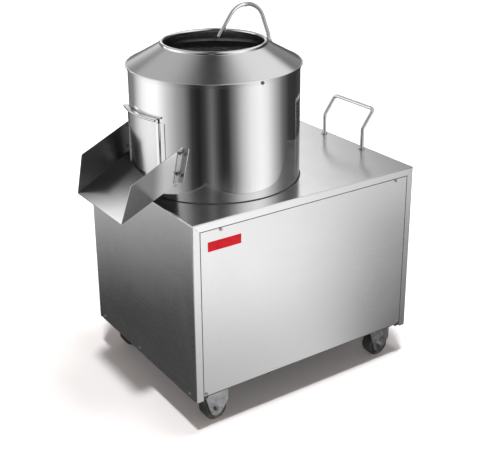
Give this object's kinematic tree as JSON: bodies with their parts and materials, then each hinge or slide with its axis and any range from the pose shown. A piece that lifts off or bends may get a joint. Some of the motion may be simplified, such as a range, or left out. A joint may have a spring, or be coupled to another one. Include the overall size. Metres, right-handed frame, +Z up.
{
  "type": "electric potato peeler",
  "caption": "Abrasive-disc potato peeler: upright drum with cone lid, lift door, chute and water spout on a castor-mounted sheet cabinet holding its belt drive.",
  "frame": {"origin": "on the floor under the castors, at the centre of the whole machine's bounding box", "axes": "+Z up; +X along the cabinet's width, from the chute to the push handle; -Y is the cabinet's front, with the nameplate; +Y is the back, with the drain"},
  "size_m": [0.7736, 0.5472, 0.9374],
  "materials": {
    "sheet_steel": "satin stainless sheet",
    "drum_steel": "polished stainless sheet",
    "cone_steel": "matt stainless sheet",
    "bright_steel": "bright polished steel",
    "frame_steel": "dark grey paint",
    "zinc_steel": "zinc-plated",
    "fastener": "dark-plated",
    "nameplate_red": "gloss red, blank",
    "wheel_black": "moulded, black",
    "abrasive": "cast metal coated with dark grit",
    "cast": "machined casting",
    "shaft_steel": "turned steel",
    "belt_rubber": "black rubber",
    "seal_rubber": "black rubber",
    "motor_paint": "grey-blue enamel",
    "black_plastic": "moulded",
    "capacitor": "white can",
    "hose_grey": "corrugated metal hose",
    "drain_pipe": "welded tube",
    "green_cap": "green",
    "red_cap": "red"
  },
  "bodies": {
    "machine": {"cabinet_top": "sheet_steel", "left_side_panel": "sheet_steel", "right_side_panel": "sheet_steel", "front_panel": "sheet_steel", "rear_panel": "sheet_steel", "base_plate": "frame_steel", "inner_frame": "frame_steel", "drum_support_plate": "frame_steel", "motor_plate": "frame_steel", "cover_screws": "fastener", "frame_bolts": "zinc_steel", "nameplate": "nameplate_red", "castor_fork_front_left": "zinc_steel", "castor_fork_front_right": "zinc_steel", "castor_fork_rear_left": "zinc_steel", "castor_fork_rear_right": "zinc_steel", "castor_axles": "zinc_steel", "drum_shell": "drum_steel", "drum_floor": "sheet_steel", "drum_liner": "abrasive", "cone_cover": "cone_steel", "feed_ring": "bright_steel", "door_guides": "drum_steel", "chute": "sheet_steel", "chute_brackets": "sheet_steel", "chute_bolts": "fastener", "bearing_housing": "cast", "upper_bearing": "shaft_steel", "lower_bearing": "shaft_steel", "shaft_seal": "seal_rubber", "v_belt": "belt_rubber", "motor_body": "motor_paint", "motor_fan_cover": "motor_paint", "terminal_box": "black_plastic", "run_capacitor": "capacitor", "supply_pipe": "shaft_steel", "pipe_clips": "zinc_steel", "gooseneck": "hose_grey", "nozzle": "bright_steel", "drain_pipe": "drain_pipe", "button_bodies": "black_plastic", "cable_gland": "black_plastic", "push_handle": "bright_steel", "handle_nuts": "zinc_steel"},
    "wheel_front_left": {"castor_wheel_front_left": "wheel_black"},
    "wheel_front_right": {"castor_wheel_front_right": "wheel_black"},
    "wheel_rear_left": {"castor_wheel_rear_left": "wheel_black"},
    "wheel_rear_right": {"castor_wheel_rear_right": "wheel_black"},
    "door": {"outlet_door": "drum_steel"},
    "disc": {"abrasive_disc": "abrasive", "disc_nut": "bright_steel", "main_shaft": "shaft_steel", "drive_pulley": "cast"},
    "rotor": {"motor_pulley": "cast", "motor_rotor": "shaft_steel", "motor_fan": "black_plastic"},
    "start_cap": {"start_button": "green_cap"},
    "stop_cap": {"stop_button": "red_cap"}
  },
  "joints": [
    {"name": "door_lift", "type": "slide", "parent": "machine", "child": "door", "axis": [0, 0, 1], "range_m": [0, 0.084]},
    {"name": "disc_spin", "type": "hinge", "parent": "machine", "child": "disc", "pos_m": [-0.06375, -0.0194, 0.537], "axis": [0, 0, 1], "continuous": true},
    {"name": "rotor_spin", "type": "hinge", "parent": "machine", "child": "rotor", "pos_m": [0.22125, -0.0194, 0.287], "axis": [0, 0, 1], "continuous": true},
    {"name": "front_left_roll", "type": "hinge", "parent": "machine", "child": "wheel_front_left", "pos_m": [-0.21425, -0.2254, 0.031], "axis": [0, 1, 0], "continuous": true},
    {"name": "front_right_roll", "type": "hinge", "parent": "machine", "child": "wheel_front_right", "pos_m": [0.30175, -0.2254, 0.031], "axis": [0, 1, 0], "continuous": true},
    {"name": "rear_left_roll", "type": "hinge", "parent": "machine", "child": "wheel_rear_left", "pos_m": [-0.21425, 0.1926, 0.031], "axis": [0, 1, 0], "continuous": true},
    {"name": "rear_right_roll", "type": "hinge", "parent": "machine", "child": "wheel_rear_right", "pos_m": [0.30175, 0.1926, 0.031], "axis": [0, 1, 0], "continuous": true},
    {"name": "start_press", "type": "slide", "parent": "machine", "child": "start_cap", "axis": [-1, 0, 0], "range_m": [0, 0.004], "stiffness_N_per_m": 1000},
    {"name": "stop_press", "type": "slide", "parent": "machine", "child": "stop_cap", "axis": [-1, 0, 0], "range_m": [0, 0.004], "stiffness_N_per_m": 1000}
  ],
  "couplings": [
    {"joint": "rotor_spin", "follows": "disc_spin", "ratio": 4}
  ]
}
